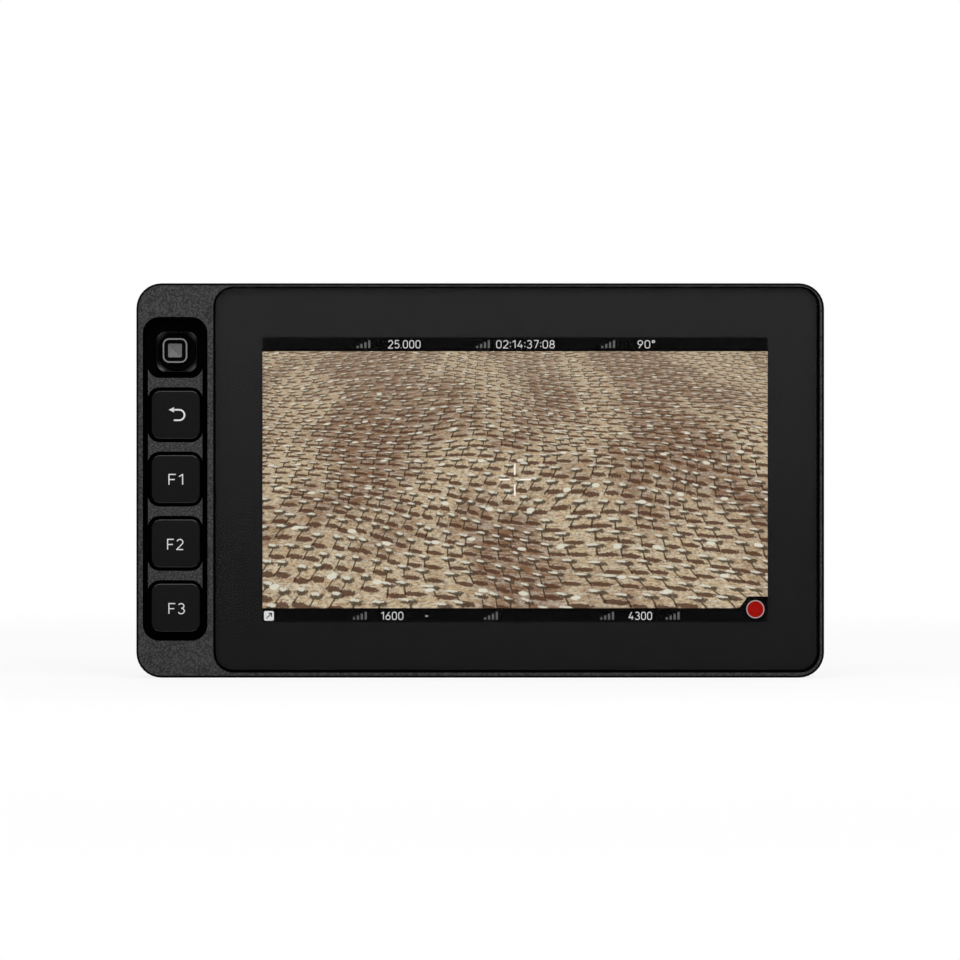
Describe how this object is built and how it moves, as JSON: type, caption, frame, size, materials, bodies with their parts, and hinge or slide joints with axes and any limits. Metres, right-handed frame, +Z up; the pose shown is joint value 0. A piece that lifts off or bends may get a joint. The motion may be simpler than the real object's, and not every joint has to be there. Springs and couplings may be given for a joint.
{
  "type": "camera field monitor",
  "caption": "Compact on-camera field monitor with a bonded glass screen, a column of square keys under a small joystick, side sockets and a sliding battery mount.",
  "frame": {"origin": "centre of the base, half way between the front face and the battery hooks", "axes": "+X to the viewer's right, +Y from the screen to the back, +Z up"},
  "size_m": [0.1502, 0.028, 0.0862],
  "materials": {
    "housing": "matte, bead blasted and black anodised",
    "seal": "matte",
    "screws": "black oxide, satin",
    "inserts": "turned, satin",
    "cover_glass": "polished, low reflection coating",
    "display": "lit picture on a glossy panel",
    "diffuser": "milky acrylic",
    "led_strip": "white board with yellow chips",
    "tray": "pressed, satin",
    "flex": "amber film",
    "keys": "fine matte, moulded black",
    "board": "green solder mask",
    "black_plastic": "moulded black",
    "collar": "smooth black",
    "joystick_metal": "turned and plated",
    "joystick_cap": "matte grey",
    "light_pipe": "clear moulded",
    "thermal_pad": "soft pad",
    "spreader": "machined",
    "nickel": "satin nickel plate",
    "insulator": "milky white",
    "gold": "gold plate",
    "battery_plate": "fine texture, moulded black",
    "latch": "matte grey",
    "spring": "drawn wire"
  },
  "bodies": {
    "housing": {"front_housing": "housing", "rear_housing": "housing", "key_bezel": "housing", "housing_seal": "seal", "key_membrane": "seal", "glass_tape": "seal", "housing_screws": "screws", "inner_screws": "screws", "plate_screws": "screws", "bottom_thread_insert": "inserts", "top_thread_insert": "inserts", "cover_glass": "cover_glass", "lcd_panel": "display", "light_guide": "diffuser", "led_strip": "led_strip", "backlight_tray": "tray", "mid_frame": "tray", "card_socket": "tray", "display_flex": "flex", "control_flex": "flex", "control_board": "board", "main_board": "board", "key_switches": "black_plastic", "joystick_case": "black_plastic", "power_switch": "black_plastic", "board_chips": "black_plastic", "video_socket_tongues": "black_plastic", "data_socket_tongue": "black_plastic", "headphone_jack": "black_plastic", "contact_block": "black_plastic", "joystick_collar": "collar", "status_light": "light_pipe", "thermal_pads": "thermal_pad", "heat_spreader": "spreader", "coax_input_jack": "nickel", "coax_output_jack": "nickel", "coax_nuts": "nickel", "video_input_socket": "nickel", "video_output_socket": "nickel", "data_socket": "nickel", "power_socket": "nickel", "coax_insulators": "insulator", "power_insulator": "insulator", "coax_contacts": "gold", "power_pins": "gold", "battery_contacts": "gold", "power_posts": "gold", "battery_plate": "battery_plate", "latch_spring": "spring"},
    "stick_ring": {"joystick_ring": "joystick_metal"},
    "stick_hub": {"joystick_hub": "joystick_metal"},
    "stick": {"joystick_stem": "joystick_metal", "joystick_cap": "joystick_cap"},
    "function_key_1": {"function_key_1": "keys"},
    "function_key_2": {"function_key_2": "keys"},
    "function_key_3": {"function_key_3": "keys"},
    "back_key": {"back_key": "keys"},
    "power_button": {"power_button": "keys"},
    "battery_latch": {"battery_latch": "latch"}
  },
  "joints": [
    {"name": "joystick_swing", "type": "hinge", "parent": "housing", "child": "stick_ring", "pos_m": [-0.0668, -0.009, 0.0715], "axis": [0, 0, 1], "range_deg": [-6, 6], "stiffness_Nm_per_rad": 0.02},
    {"name": "joystick_nod", "type": "hinge", "parent": "stick_ring", "child": "stick_hub", "pos_m": [-0.0668, -0.009, 0.0715], "axis": [1, 0, 0], "range_deg": [-6, 6], "stiffness_Nm_per_rad": 0.02},
    {"name": "joystick_press", "type": "slide", "parent": "stick_hub", "child": "stick", "axis": [0, 1, 0], "range_m": [0, 0.0004], "stiffness_N_per_m": 500, "springref_m": -0.0004},
    {"name": "back_key_press", "type": "slide", "parent": "housing", "child": "back_key", "axis": [0, 1, 0], "range_m": [0, 0.0005], "stiffness_N_per_m": 500, "springref_m": -0.0005},
    {"name": "function_key_1_press", "type": "slide", "parent": "housing", "child": "function_key_1", "axis": [0, 1, 0], "range_m": [0, 0.0005], "stiffness_N_per_m": 500, "springref_m": -0.0005},
    {"name": "function_key_2_press", "type": "slide", "parent": "housing", "child": "function_key_2", "axis": [0, 1, 0], "range_m": [0, 0.0005], "stiffness_N_per_m": 500, "springref_m": -0.0005},
    {"name": "function_key_3_press", "type": "slide", "parent": "housing", "child": "function_key_3", "axis": [0, 1, 0], "range_m": [0, 0.0005], "stiffness_N_per_m": 500, "springref_m": -0.0005},
    {"name": "power_button_press", "type": "slide", "parent": "housing", "child": "power_button", "axis": [0, 0, -1], "range_m": [0, 0.0006], "stiffness_N_per_m": 500, "springref_m": -0.0005},
    {"name": "battery_latch_press", "type": "slide", "parent": "housing", "child": "battery_latch", "axis": [0, -1, 0], "range_m": [0, 0.0014], "stiffness_N_per_m": 400, "springref_m": -0.001, "deforming": ["latch_spring"]}
  ]
}
